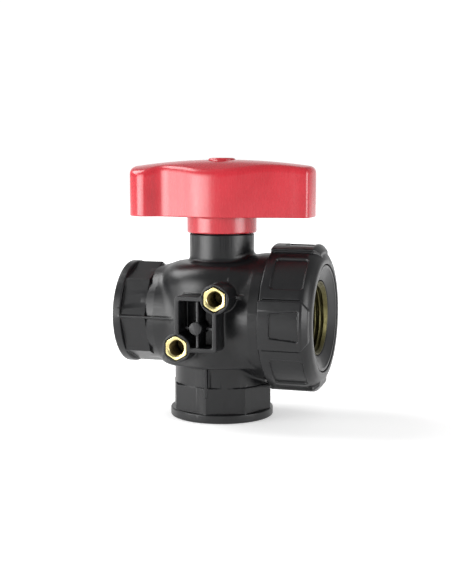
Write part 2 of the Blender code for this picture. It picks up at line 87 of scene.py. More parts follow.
# Sizes that repeat the CAD's
LIP_RADIUS, LIP_THICK = 25.0, 4.2
OCTAGON_FLAT = 22.82
OCTAGON_LENGTH = 12.4
THREAD_MINOR, THREAD_MAJOR, THREAD_PITCH = 15.2, 16.6, 2.309
BORE = 10.5
BARREL_RADIUS, BARREL_TOP, BARREL_BOTTOM = 29.5, 26.0, -22.5
STEM_NECK_RADIUS, STEM_NECK_TOP = 15.6, 39.2
STEM_BORE = 8.3
CAVITY = 21.0
SEAT_POCKET, SEAT_FLOOR = 14.6, 22.0
FLARE_END, SPIGOT_RADIUS = 26.8, 29.2
BOSS_RADIUS = 6.8
NUT_RADIUS, NUT_THREAD, NUT_OPENING, NUT_SHOULDER = 33.6, 29.6, 25.6, 46.5
UNION_PITCH, UNION_DEPTH = 3.0, 0.35
PAD_HALF_ANGLE, PAD_END = math.radians(19.0), 50.8
CONNECTOR_START = 15.0
SLEEVE_LOW, SLEEVE_HIGH = 29.8, 48.6
INSERT_FLAT, INSERT_LENGTH = 5.0, 15.0
HANDLE_LOW, HANDLE_CROWN = 47.4, 74.6
COLLAR_RADIUS = 16.8
HANDLE_OUTLINE = (
    (0.0, -19.6), (6.0, -19.2), (12.0, -17.6), (18.0, -15.2), (24.0, -12.7), (30.0, -10.9),
    (36.0, -10.2), (41.5, -10.0), (44.4, -8.8), (45.3, -5.5), (45.4, 0.0), (45.1, 5.0),
    (44.0, 9.4), (41.6, 12.8), (38.0, 15.3), (34.2, 15.9), (31.4, 14.8), (29.0, 13.4),
    (26.6, 12.8), (23.6, 13.1), (19.6, 14.4), (14.0, 16.4), (7.0, 18.8),
)

# ---------------------------------------------------------------- distance fields


def smooth_min(a, b, k):
    h = np.clip(0.5 + 0.5 * (b - a) / k, 0, 1)
    return b * (1 - h) + a * h - k * h * (1 - h)


def smooth_max(a, b, k):
    return -smooth_min(-a, -b, k)


def corner(a, b, rounding):
    """Inside both a and b, with the edge between them rounded."""
    qa, qb = a + rounding, b + rounding
    outside = np.hypot(np.maximum(qa, 0), np.maximum(qb, 0))
    return outside + np.minimum(np.maximum(qa, qb), 0) - rounding


def span(value, low, high):
    return np.abs(value - (low + high) / 2) - (high - low) / 2


def rod(radial, along, radius, low, high, rounding=0.0):
    return corner(radial - radius, span(along, low, high), rounding)


def block(p, low, high, rounding=0.0):
    x, y, z = (span(p[i], low[i], high[i]) for i in range(3))
    return corner(corner(x, y, rounding), z, rounding)


def regular(a, b, flat, sides, turn=0.0):
    """Distance to a regular polygon with corners at turn, turn + 360 / sides and so on."""
    angle = np.arctan2(b, a) - turn
    step = 2 * math.pi / sides
    nearest = (np.floor(angle / step) + 0.5) * step
    return np.hypot(a, b) * np.cos(angle - nearest) - flat


def thread_radius(along, angle, minor, major, pitch, start, end):
    """Wall radius of a rounded female thread that fades out at both ends of its run."""
    turn = along / pitch + angle / (2 * math.pi)
    fade = np.clip((along - start) / pitch + 0.3, 0, 1) * np.clip((end - along) / pitch, 0, 1)
    return minor + (major - minor) * fade * (0.5 + 0.5 * np.cos(2 * math.pi * turn))


GRID_STEP = 0.46


def surface_nets(field, low, high, step):
    """Vertices and quads of the field's zero surface inside the box."""
    counts = [int(math.ceil((b - a) / step)) + 1 for a, b in zip(low, high)]
    axes = [
        np.float32(start) + np.arange(count, dtype=np.float32) * np.float32(step)
        for start, count in zip(low, counts)
    ]
    values = np.empty(counts, np.float32)
    # The field is sampled slab by slab, which keeps the memory small
    slab = 24
    for start in range(0, counts[0], slab):
        grid = np.meshgrid(axes[0][start:start + slab], axes[1], axes[2], indexing="ij")
        values[start:start + slab] = field(grid)
    inside = values < 0
    corners = [(i, j, k) for i in (0, 1) for j in (0, 1) for k in (0, 1)]
    nx, ny, nz = (n - 1 for n in counts)
    total = np.zeros((nx, ny, nz), np.int8)
    for i, j, k in corners:
        total += inside[i:i + nx, j:j + ny, k:k + nz]
    cells = np.argwhere((total > 0) & (total < 8))
    number = np.full((nx, ny, nz), -1, np.int32)
    number[tuple(cells.T)] = np.arange(len(cells))
    at = np.zeros((len(cells), 3))
    hits = np.zeros(len(cells))
    corner_values = {c: values[tuple((cells + c).T)] for c in corners}
    for axis in range(3):
        for c in corners:
            if c[axis]:
                continue
            d = tuple(1 if i == axis else c[i] for i in range(3))
            a, b = corner_values[c], corner_values[d]
            crossing = (a < 0) != (b < 0)
            t = np.where(crossing, a / np.where(crossing, a - b, 1), 0)
            point = np.tile(np.array(c, float), (len(cells), 1))
            point[:, axis] = t
            at += point * crossing[:, None]
            hits += crossing
    vertices = np.array(low) + (cells + at / hits[:, None]) * step
    quads = []
    for axis in range(3):
        u, v = (axis + 1) % 3, (axis + 2) % 3
        first = inside[tuple(slice(0, -1) if i == axis else slice(1, -1) for i in range(3))]
        second = inside[tuple(slice(1, None) if i == axis else slice(1, -1) for i in range(3))]
        edges = np.argwhere(first != second)
        flip = first[tuple(edges.T)]
        base = edges + [0 if i == axis else 1 for i in range(3)]
        around = []
        for du, dv in ((-1, -1), (0, -1), (0, 0), (-1, 0)):
            cell = base.copy()
            cell[:, u] += du
            cell[:, v] += dv
            around.append(number[tuple(cell.T)])
        quad = np.stack(around, 1)
        quad[~flip] = quad[~flip][:, ::-1]
        quads.append(quad)
    return vertices, np.concatenate(quads)


def gradient(field, points, eps=0.03):
    result = np.empty_like(points)
    for axis in range(3):
        shifted = points.copy()
        shifted[:, axis] += eps
        ahead = field(list(shifted.T))
        shifted[:, axis] -= 2 * eps
        result[:, axis] = (ahead - field(list(shifted.T))) / (2 * eps)
    return result


def settle(field, points, most, rounds=3):
    """Moves points on to the field's surface, each by no more than most."""
    start = points.copy()
    for _ in range(rounds):
        slope = gradient(field, points)
        length = np.maximum((slope ** 2).sum(1), 0.05)
        points = points - slope * (field(list(points.T)) / length)[:, None]
        shift = points - start
        size = np.linalg.norm(shift, axis=1)
        points = start + shift * np.minimum(1, most / np.maximum(size, 1e-9))[:, None]
    return points


def link(name, mesh, body, *nodes):
    """Puts a visible piece on its moving body, in place of these CAD nodes."""
    made = bpy.data.objects.new(name, mesh)
    bpy.context.scene.collection.objects.link(made)
    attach(made, body)
    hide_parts(*nodes)
    return made


def to_metres(points):
    return np.asarray(points) * MM + CENTRE


def moulded(name, field, low, high, keep, body, *nodes):
    """A piece from a distance field, thinned to this share of its faces, with the field's own normals."""
    step = GRID_STEP
    vertices, quads = surface_nets(field, low, high, step)
    vertices = settle(field, vertices, 0.6 * step)
    mesh = bpy.data.meshes.new(name)
    mesh.from_pydata(vertices.tolist(), [], quads.tolist())
    scratch = bpy.data.objects.new("scratch", mesh)
    bpy.context.scene.collection.objects.link(scratch)
    thin = scratch.modifiers.new("Thin", "DECIMATE")
    thin.ratio = keep
    graph = bpy.context.evaluated_depsgraph_get()
    thinned = bpy.data.meshes.new_from_object(scratch.evaluated_get(graph))
    bpy.data.objects.remove(scratch)
    bpy.data.meshes.remove(mesh)
    points = np.empty(len(thinned.vertices) * 3)
    thinned.vertices.foreach_get("co", points)
    points = settle(field, points.reshape(-1, 3), 0.3 * step, 2)
    normals = gradient(field, points)
    normals /= np.maximum(np.linalg.norm(normals, axis=1), 1e-6)[:, None]
    thinned.vertices.foreach_set("co", to_metres(points).ravel())
    thinned.update()
    thinned.shade_smooth()
    thinned.normals_split_custom_set_from_vertices(normals.tolist())
    thinned.name = name
    return link(name, thinned, body, *nodes)


def loft(name, rings, body, *nodes, closed=False, sharp=35):
    """A piece from rings of as many points each. A closed loft joins its last ring to its first."""
    bm = bmesh.new()
    rows = [[bm.verts.new(p) for p in to_metres(ring)] for ring in rings]
    pairs = list(zip(rows, rows[1:] + rows[:1] if closed else rows[1:]))
    count = len(rows[0])
    for first, second in pairs:
        for i in range(count):
            j = (i + 1) % count
            bm.faces.new((first[i], first[j], second[j], second[i]))
    if not closed:
        bm.faces.new(rows[0])
        bm.faces.new(rows[-1])
    bmesh.ops.recalc_face_normals(bm, faces=bm.faces)
    mesh = bpy.data.meshes.new(name)
    bm.to_mesh(mesh)
    bm.free()
    mesh.shade_smooth()
    mesh.set_sharp_from_angle(angle=math.radians(sharp))
    return link(name, mesh, body, *nodes)


CORNER_STEPS = 3


def rounded_profile(profile, radius):
    """The closed profile with every corner rounded a little, each by CORNER_STEPS + 1 points."""
    points = [np.array(p, float) for p in profile]
    result = []
    for i, point in enumerate(points):
        before, after = points[i - 1] - point, points[(i + 1) % len(points)] - point
        near = min(radius, np.linalg.norm(before) * 0.45, np.linalg.norm(after) * 0.45)
        a = point + before / np.linalg.norm(before) * near
        b = point + after / np.linalg.norm(after) * near
        for k in range(CORNER_STEPS + 1):
            t = k / CORNER_STEPS
            result.append((1 - t) ** 2 * a + 2 * t * (1 - t) * point + t ** 2 * b)
    return result


def turned(profile, axis, segments=160):
    """Rings of a (radius, along) profile turned about the X or the Z axis."""
    angle = np.arange(segments) * 2 * math.pi / segments
    rings = []
    for radius, along in profile:
        a, b = radius * np.cos(angle), radius * np.sin(angle)
        still = np.full(segments, along)
        rings.append(np.stack((still, a, b) if axis == "X" else (a, b, still), 1))
    return rings


# ---------------------------------------------------------------- body

# Ports: their hollows start a little before the face and end near the ball
THREAD_END, SOCKET_FLOOR = -27.0, -25.2
PAST_FACE, BALL_REACH = 4, -6

# Side tube: its radius swells along X, from the left port to the nut's spigot
TUBE_ALONG = (-31, -27, -20, -8, 2, 11, 19, 22, 27)
TUBE_RADII = (22.95, 23.8, 24.2, 24.4, 26.2, 28.4, 29.8, 30.2, 30.2)
TUBE_START, SPIGOT_START = -34.0, 20

# Barrel: edge rounding above and below, the neck under it, and the ribs on both necks
DOME_ABOVE, DOME_BELOW = 11.0, 1.2
LOWER_NECK = 22.8
LOWER_RIB = (-0.75, -24.9, -37.0), (0.75, -15, -12)
SIDE_RIB = (-44.0, -25.0, -0.6), (-16, -19, 0.6)

# Stem neck: the handle's stop, and the hollows over the ball
STOP_RADII, STOP_HEIGHTS, STOP_HALF_ANGLE = (10.2, 13.3), (38.0, 42.6), 80
STEM_FLANGE_POCKET, STEM_POCKET_TOP = 10.9, 25.4
ABOVE_BALL = 12

# Panel frame in front, with its pocket, ribs, post and gussets
INSERT_SEAT_FLAT, INSERT_SEAT_DEPTH = 5.3, 15.3
FRAME_X, FRAME_Z = (-10.0, 10.2), (-13.0, 12.6)
POCKET_X, POCKET_Z, POCKET_FLOOR = (-7.9, 8.1), (-10.9, 10.5), -25.6
BLOCK_BACK = -16.0
POST_X, POST_Z, POST_RADIUS = 0.2, -2.0, 3.0
WEB_Z, WEB_LEAN = (-2.6, -1.4), 0.55
GUSSET_TIP, GUSSET_FRONT = -33.5, -36

# Clear of the body on every side
FAR = 60


def port_outside(a, b, along, face):
    """Lip, octagon and root of a port that faces the low end of along."""
    radial = np.hypot(a, b)
    lip = rod(radial, along, LIP_RADIUS, face, face + LIP_THICK, 0.7)
    length = span(along, face + LIP_THICK - 1, face + LIP_THICK + OCTAGON_LENGTH)
    octagon = corner(regular(a, b, OCTAGON_FLAT, 8), length, 0.25)
    return smooth_min(lip, octagon, 0.3)


def port_inside(a, b, along, face):
    """The hollow of a port: countersink, thread, passage and seat pocket."""
    radial, angle = np.hypot(a, b), np.arctan2(b, a)
    wall = thread_radius(along, angle, THREAD_MINOR, THREAD_MAJOR, THREAD_PITCH, face, THREAD_END)
    socket = corner((radial - wall) * 0.75, span(along, face - PAST_FACE, SOCKET_FLOOR), 0.2)
    mouth = (radial - (THREAD_MAJOR + 0.6) + (along - face)) * 0.7
    countersink = corner(mouth, span(along, face - PAST_FACE, face + PAST_FACE), 0.1)
    socket = smooth_min(socket, countersink, 0.15)
    passage = rod(radial, along, BORE, -30, BALL_REACH)
    pocket = rod(radial, along, SEAT_POCKET, -SEAT_FLOOR, BALL_REACH)
    return np.minimum(socket, np.minimum(passage, pocket))


def front_block(p):
    """The panel frame with its two insert bosses, and the ribs and the post in its pocket."""
    x, y, z = p
    frame_outline = corner(span(x, *FRAME_X), span(z, *FRAME_Z), 2.0)
    solid = corner(frame_outline, span(y, PANEL_FACE, BLOCK_BACK), 0.3)
    for bx, bz in INSERTS.values():
        boss = rod(np.hypot(x - bx, z - bz), y, BOSS_RADIUS, PANEL_FACE + 0.4, BLOCK_BACK + 2, 0.4)
        solid = smooth_min(solid, boss, 0.8)
    pocket_outline = corner(span(x, *POCKET_X), span(z, *POCKET_Z), 0.9)
    hollow = corner(pocket_outline, span(y, -FAR, POCKET_FLOOR), 0.6)
    for bx, bz in INSERTS.values():
        hollow = np.maximum(hollow, -(np.hypot(x - bx, z - bz) - BOSS_RADIUS))
    solid = smooth_max(solid, -hollow, 0.4)
    upright = block(p, (0.4, PANEL_FACE + 0.3, -12), (1.6, BLOCK_BACK, 11.6), 0.2)
    post = rod(np.hypot(x - POST_X, z - POST_Z), y, POST_RADIUS, PANEL_FACE, BLOCK_BACK, 0.25)
    # The two level webs slope back from the post to the frame
    web_left = np.maximum(
        block(p, (-5.5, PANEL_FACE + 0.6, WEB_Z[0]), (POST_X, BLOCK_BACK, WEB_Z[1]), 0.2),
        (PANEL_FACE + 0.9 - y + WEB_LEAN * np.maximum(-2.6 - x, 0)) * 0.85,
    )
    web_right = np.maximum(
        block(p, (4.6, PANEL_FACE + 0.4, WEB_Z[0]), (9.5, BLOCK_BACK, WEB_Z[1]), 0.2),
        (PANEL_FACE + 0.7 - y + WEB_LEAN * np.maximum(7.6 - x, 0)) * 0.85,
    )
    inner = np.minimum(np.minimum(upright, web_left), web_right)
    return smooth_min(smooth_min(inner, post, 0.4), solid, 0.4)


def gussets(p):
    """Two sloping ribs at the upper boss, one above it and one to its right."""
    x, y, z = p
    bx, bz = INSERTS["mounting_insert_upper"]
    tall_slope = (GUSSET_TIP - y + (z - bz) * 0.9) * 0.72
    tall_rib = block(p, (bx + 0.4, GUSSET_FRONT, bz), (bx + 2.0, -12, 24.5), 0.25)
    flat_slope = (GUSSET_TIP - y + (x - bx) * 0.64) * 0.83
    flat_rib = block(p, (bx, GUSSET_FRONT, bz - 0.8), (bx + 12.5, BLOCK_BACK, bz + 0.8), 0.25)
    return np.minimum(np.maximum(tall_rib, tall_slope), np.maximum(flat_rib, flat_slope))


def body_field(p):
    """The one-piece valve body: housing, three ports, stem neck, spigot, frame and all its hollows."""
    x, y, z = p
    about_x, about_z = np.hypot(y, z), np.hypot(x, y)
    dome = np.where(z > 0, DOME_ABOVE, DOME_BELOW)
    barrel = corner(about_z - BARREL_RADIUS, span(z, BARREL_BOTTOM, BARREL_TOP), dome)
    tube_radius = np.interp(x, TUBE_ALONG, TUBE_RADII)
    tube = corner((about_x - tube_radius) * 0.98, span(x, TUBE_START, FLARE_END), 0.5)
    shape = smooth_min(barrel, tube, 2.2)
    shape = smooth_min(shape, rod(about_z, z, LOWER_NECK, -36.0, -5.0), 1.6)
    shape = smooth_min(shape, rod(about_z, z, STEM_NECK_RADIUS, 10.0, STEM_NECK_TOP, 0.5), 2.6)
    shape = np.minimum(shape, port_outside(-y, z, x, LEFT_FACE))
    shape = np.minimum(shape, port_outside(x, y, z, BOTTOM_FACE))
    wave = UNION_DEPTH * np.cos(2 * math.pi * (x / UNION_PITCH + np.arctan2(z, y) / (2 * math.pi)))
    spigot = corner(about_x - SPIGOT_RADIUS + UNION_DEPTH - wave, span(x, SPIGOT_START, SPIGOT_END), 0.8)
    shape = np.minimum(shape, spigot)
    shape = smooth_min(shape, front_block(p), 1.0)
    shape = smooth_min(shape, gussets(p), 0.8)
    neck_ribs = np.minimum(block(p, *LOWER_RIB, 0.25), block(p, *SIDE_RIB, 0.25))
    shape = smooth_min(shape, neck_ribs, 0.5)
    angle = np.degrees(np.arctan2(x, -y))
    stop_ring = corner(span(about_z, *STOP_RADII), span(z, *STOP_HEIGHTS), 0.2)
    shape = np.minimum(shape, corner(stop_ring, (np.abs(angle) - STOP_HALF_ANGLE) * 0.2, 0.1))
    cavity = np.where(x > 0, about_x, np.sqrt(x * x + y * y + z * z)) - CAVITY
    holes = np.minimum(cavity, port_inside(y, z, x, LEFT_FACE))
    holes = np.minimum(holes, port_inside(x, y, z, BOTTOM_FACE))
    holes = np.minimum(holes, rod(about_z, z, STEM_FLANGE_POCKET, ABOVE_BALL, STEM_POCKET_TOP))
    holes = np.minimum(holes, rod(about_z, z, STEM_BORE, ABOVE_BALL, FAR))
    for bx, bz in INSERTS.values():
        hexagon = regular(x - bx, z - bz, INSERT_SEAT_FLAT, 6, math.pi / 2)
        seat_depth = span(y, -FAR, PANEL_FACE + INSERT_SEAT_DEPTH)
        holes = np.minimum(holes, np.maximum(hexagon, seat_depth))
    return smooth_max(shape, -holes, 0.3)


SHELL_SLOPE_X, FACE_RADIUS = 47.0, 28.4
PAD_SLOPE_X, PAD_CHAMFER_X = 48.2, 47.8
PANEL_X, PANEL_DEPTH = (33.4, 46.6), 0.9
PANEL_HALF_ANGLE, PANEL_WIDENS = math.radians(9.3), math.radians(0.16)
WINDOW_X, WINDOW_DEPTH, WINDOW_HALF_ANGLE = (32.2, 47.2), 1.1, math.radians(15.5)
FOOT_LINE_END, FOOT_LINE_DEPTH = 47.5, 0.6


def cone(radial, along, at_radius, at_along, radial_part, along_part):
    """Distance past a cone through a point of the profile, with this normal."""
    return (radial - at_radius) * radial_part + (along - at_along) * along_part


def nut_field(p):
    """The union nut: a shell with four grip pads, a sunk panel in each and a window between them."""
    x, y, z = p
    radial, angle = np.hypot(y, z), np.arctan2(z, y)
    quarter = math.pi / 2
    turn = np.abs(angle - np.round(angle / quarter) * quarter)
    shell = rod(radial, x, NUT_RADIUS, NUT_BACK, NUT_FACE, 0.6)
    shell = smooth_max(shell, cone(radial, x, NUT_RADIUS, SHELL_SLOPE_X, 0.852, 0.524), 0.8)
    shell = smooth_max(shell, cone(radial, x, FACE_RADIUS, NUT_FACE, 0.504, 0.863), 0.8)
    side = (turn - PAD_HALF_ANGLE) * radial
    pad = corner(side, radial - NUT_PAD_RADIUS, 0.5)
    pad = smooth_max(pad, (side + x - PAD_CHAMFER_X) * 0.707, 0.6)
    pad = smooth_max(pad, cone(radial, x, NUT_PAD_RADIUS, PAD_SLOPE_X, 0.655, 0.756), 0.6)
    pad = corner(pad, span(x, NUT_BACK, PAD_END), 0.4)
    shape = smooth_min(shell, np.maximum(pad, 30.0 - radial), 0.5)
    taper = PANEL_HALF_ANGLE + PANEL_WIDENS * (x - 33.5)
    panel = corner((turn - taper) * radial, span(x, *PANEL_X), 0.8)
    shape = smooth_max(shape, -np.maximum(panel, NUT_PAD_RADIUS - PANEL_DEPTH - radial), 0.7)
    between = np.abs(turn - quarter / 2) - WINDOW_HALF_ANGLE
    window = corner(between * radial, span(x, *WINDOW_X), 1.5)
    # A shadow line along the foot of each pad
    foot = corner(np.abs(side - 0.5) - 0.45, span(x, NUT_BACK + 1.5, FOOT_LINE_END), 0.1)
    shape = smooth_max(shape, -corner(foot, NUT_RADIUS - FOOT_LINE_DEPTH - radial, 0.1), 0.4)
    shape = smooth_max(shape, -np.maximum(window, NUT_RADIUS - WINDOW_DEPTH - radial), 1.0)
    wave = UNION_DEPTH * np.cos(2 * math.pi * (x / UNION_PITCH + angle / (2 * math.pi)))
    wall = NUT_THREAD + UNION_DEPTH + wave
    hollow = np.maximum(radial - wall, x - NUT_SHOULDER)
    opening = radial - NUT_OPENING
    return smooth_max(shape, -np.minimum(hollow, opening), 0.5)


# ---------------------------------------------------------------- handle


def smooth_loop(points, steps):
    """A closed Catmull-Rom curve through the points."""
    points = np.array(points)
    curve = []
    for i in range(len(points)):
        a, b, c, d = (points[(i + k) % len(points)] for k in (-1, 0, 1, 2))
        for k in range(steps):
            t = k / steps
            bend = (2 * a - 5 * b + 4 * c - d) * t ** 2
            twist = (3 * b - a - 3 * c + d) * t ** 3
            curve.append(0.5 * (2 * b + (c - a) * t + bend + twist))
    return np.array(curve)


def outline_map(curve, low, high, step):
    """Signed distance to a closed curve, on a flat grid."""
    xs = np.arange(low[0], high[0], step)
    ys = np.arange(low[1], high[1], step)
    gx, gy = np.meshgrid(xs, ys, indexing="ij")
    nearest = np.full(gx.shape, 1e9)
    inside = np.zeros(gx.shape, bool)
    for a, b in zip(curve, np.roll(curve, -1, axis=0)):
        along = b - a
        t = np.clip(((gx - a[0]) * along[0] + (gy - a[1]) * along[1]) / (along @ along), 0, 1)
        nearest = np.minimum(nearest, np.hypot(gx - a[0] - t * along[0], gy - a[1] - t * along[1]))
        crosses = (a[1] > gy) != (b[1] > gy)
        if along[1]:
            inside ^= crosses & (gx < a[0] + (gy - a[1]) / along[1] * along[0])
    return np.where(inside, -nearest, nearest)


WHOLE = HANDLE_OUTLINE + tuple((-x, -y) for x, y in HANDLE_OUTLINE)
MAP_LOW, MAP_HIGH, MAP_STEP = (-52.0, -26.0), (52.0, 26.0), 0.2
HANDLE_MAP = outline_map(smooth_loop(WHOLE, 5), MAP_LOW, MAP_HIGH, MAP_STEP)

CROWN_ACROSS, CROWN_ALONG = 0.0150, 0.0016
HANDLE_WALL, HOLLOW_TOP = 2.8, 65.5
RIB_PLACES, RIB_HALF = (17.0, 26.5, 36.0), 0.9
MOAT_RADII, MOAT_TOP, MOAT_HALF_ANGLE = (9.6, 13.9), 43.2, 9.0
SQUARE_HALF, SQUARE_TOP = 5.9, 61.3
SCREW_HOLE, HEAD_HOLE = 3.3, 7.0
ARROW_BACK, ARROW_TIP, ARROW_DEPTH = -41.5, -35.5, 0.55


def handle_plan(x, y):
    """Signed distance to the handle's outline, read off HANDLE_MAP."""
    u = np.clip((x - MAP_LOW[0]) / MAP_STEP, 0, HANDLE_MAP.shape[0] - 1.001)
    v = np.clip((y - MAP_LOW[1]) / MAP_STEP, 0, HANDLE_MAP.shape[1] - 1.001)
    i, j = u.astype(int), v.astype(int)
    s, t = u - i, v - j
    low = HANDLE_MAP[i, j] * (1 - s) + HANDLE_MAP[i + 1, j] * s
    high = HANDLE_MAP[i, j + 1] * (1 - s) + HANDLE_MAP[i + 1, j + 1] * s
    return low * (1 - t) + high * t


def handle_field(p):
    """The wing handle: a crowned, ribbed shell on a collar with the stem's square and the stop's moat."""
    x, y, z = p
    about_z = np.hypot(x, y)
    plan = handle_plan(x, y)
    top = (z - HANDLE_CROWN + CROWN_ACROSS * y * y + CROWN_ALONG * x * x) * 0.9
    shape = smooth_max(plan, top, 2.6)
    shape = corner(shape, HANDLE_LOW - z, 0.5)
    ribs = span(y, -RIB_HALF, RIB_HALF)
    for rib_x in RIB_PLACES:
        ribs = np.minimum(ribs, span(np.abs(x), rib_x - RIB_HALF, rib_x + RIB_HALF))
    ribs = np.minimum(ribs, about_z - COLLAR_RADIUS + 0.8)
    hollow = np.maximum(np.maximum(plan + HANDLE_WALL, z - HOLLOW_TOP), -ribs)
    shape = smooth_max(shape, -hollow, 0.6)
    collar = rod(about_z, z, COLLAR_RADIUS, COLLAR_LOW, HANDLE_LOW + 2, 0.5)
    shape = smooth_min(shape, collar, 0.7)
    angle = np.degrees(np.arctan2(y, x))
    moat_ring = corner(span(about_z, *MOAT_RADII), span(z, 30, MOAT_TOP), 0.2)
    moat = np.maximum(moat_ring, (MOAT_HALF_ANGLE - np.abs(angle)) * 0.2)
    socket = block(p, (-SQUARE_HALF, -SQUARE_HALF, 30), (SQUARE_HALF, SQUARE_HALF, SQUARE_TOP), 0.3)
    screw_way = np.minimum(rod(about_z, z, SCREW_HOLE, 55, 90), rod(about_z, z, HEAD_HOLE, HOLLOW_TOP, 90))
    holes = np.minimum(np.minimum(moat, socket), screw_way)
    shape = smooth_max(shape, -holes, 0.4)
    arrow = np.maximum(ARROW_BACK - x, (np.abs(y) * 1.6 + x - ARROW_TIP) * 0.53)
    return smooth_max(shape, -np.maximum(arrow, -(top + ARROW_DEPTH)), 0.25)


def make_moulded():
    """The three moulded pieces, each with the box its field is sampled in and the faces it keeps."""
    body_low, body_high = (-48.5, -40.7, -50.5), (42.2, 30.8, 44.0)
    nut_low, nut_high = (26.5, -37, -37), (53, 37, 37)
    handle_low, handle_high = (-48, -21, 38.5), (48, 21, 76)
    body = moulded("valve_housing", body_field, body_low, body_high, 0.22, "housing", "valve_body")
    nut = moulded("nut_moulding", nut_field, nut_low, nut_high, 0.3, "nut", "union_nut")
    handle = moulded("handle_moulding", handle_field, handle_low, handle_high, 0.35, "rotor", "handle")
    return body, nut, handle


# ---------------------------------------------------------------- turned pieces


def make_connector():
    """The tailpiece inside the union nut: O-ring groove, collar, dished face, sleeve seat and passage."""
    spigot, groove, collar, rim, sleeve_seat = 20.7, 18.7, 28.3, 25.2, 17.9
    profile = [
        (20.1, CONNECTOR_START), (spigot, CONNECTOR_START + 0.6), (spigot, 23.1), (groove, 23.1),
        (groove, 25.9), (spigot, 25.9), (spigot, 41.3), (collar, 41.3), (collar, 46.2), (rim, 46.2),
        (rim, CONNECTOR_END), (23.9, CONNECTOR_END), (23.3, 50.9), (18.4, 48.9),
        (sleeve_seat, SLEEVE_HIGH), (sleeve_seat, 29.5), (THREAD_MINOR, 29.5), (THREAD_MINOR, 27.0),
        (BORE, 27.0), (BORE, SEAT_FLOOR), (SEAT_POCKET, SEAT_FLOOR), (SEAT_POCKET, CONNECTOR_START),
    ]
    rings = turned(rounded_profile(profile, 0.3), "X")
    return loft("end_connector_moulding", rings, "connector", "end_connector", closed=True)


def make_sleeve():
    """Brass sleeve with its real thread, as one closed tube."""
    low, high = SLEEVE_LOW, SLEEVE_HIGH
    outside, mouth = 17.6, 17.05
    segments = 120
    angle = np.arange(segments) * 2 * math.pi / segments
    outer = [(17.2, low), (outside, low + 0.4), (outside, high - 0.3), (17.3, high), (mouth, high)]
    rings = turned(outer, "X", segments)
    thread = (THREAD_MINOR, THREAD_MAJOR, THREAD_PITCH, low, high + THREAD_PITCH)
    for along in np.arange(high - 0.3, low + 0.2, -THREAD_PITCH / 10):
        radius = np.maximum(thread_radius(along, angle, *thread), mouth - (high - along) * 0.9)
        ring = (np.full(segments, along), radius * np.cos(angle), radius * np.sin(angle))
        rings.append(np.stack(ring, 1))
    return loft("thread_sleeve", rings, "connector", "brass_thread_sleeve", closed=True, sharp=50)


def insert_rings(bx, bz):
    """Rings of one insert, from its back face round the outside and down its M8 thread."""
    segments = 96
    angle = np.arange(segments) * 2 * math.pi / segments
    step = math.pi / 3
    nearest = (np.floor((angle - math.pi / 2) / step) + 0.5) * step + math.pi / 2
    hexagon = np.minimum(INSERT_FLAT / np.cos(angle - nearest), 5.62)
    back = PANEL_FACE + INSERT_LENGTH
    minor, major, pitch = 3.35, 4.0, 1.25
    stations = [
        (hexagon * 0.5, back), (hexagon - 0.3, back), (hexagon, back - 0.3), (hexagon, PANEL_FACE + 0.35),
        (np.minimum(hexagon, 5.45), PANEL_FACE + 0.15), (np.minimum(hexagon - 0.18, 5.2), PANEL_FACE),
        (4.25, PANEL_FACE), (4.1, PANEL_FACE + 0.06),
    ]
    for y in np.arange(PANEL_FACE + 0.5, PANEL_FACE + 11.5, pitch / 10):
        wall = thread_radius(y, angle, minor, major, pitch, PANEL_FACE, PANEL_FACE + 11)
        stations.append((np.maximum(wall, major - (y - PANEL_FACE) * 0.8), y))
    stations += [(minor, PANEL_FACE + 12), (0.6, PANEL_FACE + 13.4)]
    rings = []
    for radius, y in stations:
        radius = np.broadcast_to(radius, angle.shape)
        ring = (bx + radius * np.cos(angle), np.full(segments, y), bz + radius * np.sin(angle))
        rings.append(np.stack(ring, 1))
    return rings


def make_inserts():
    """Hexagonal inserts with chamfered corners and a real M8 thread."""
    return [
        loft(name.replace("mounting_", "") + "_turned", insert_rings(*place), "housing", name, sharp=30)
        for name, place in INSERTS.items()
    ]


def mark_bore(insert, material):
    """Gives the threaded hole of an insert its own material, a dark brass that is painted shade for the
    shade deep in the hole.
    """
    insert.data.materials.append(material)
    across = [(v.co.x, v.co.z) for v in insert.data.vertices]
    middle = np.mean(across, axis=0)
    front = min(v.co.y for v in insert.data.vertices)
    hole, first, last = 4.05 * MM, 0.3 * MM, 14.5 * MM
    for face in insert.data.polygons:
        radius = math.hypot(face.center.x - middle[0], face.center.z - middle[1])
        depth = face.center.y - front
        face.material_index = int(radius < hole and first < depth < last)


def make_cap():
    """The cap with its dished top. The first corner gives way to a point by the axis, which hollows it."""
    profile = [
        (5.6, 73.6), (5.6, 71.4), (6.6, 71.4), (6.6, 74.5), (6.2, 75.1), (5.2, 75.4), (3.8, 75.4),
        (3.2, 75.15), (2.6, 74.8), (0.4, 74.75),
    ]
    rounded = rounded_profile(profile, 0.15)[CORNER_STEPS + 1:]
    rings = turned([(0.4, 73.6)] + rounded, "Z", 96)
    return loft("handle_cap_moulding", rings, "rotor", "handle_cap", sharp=50)


# ---------------------------------------------------------------- materials


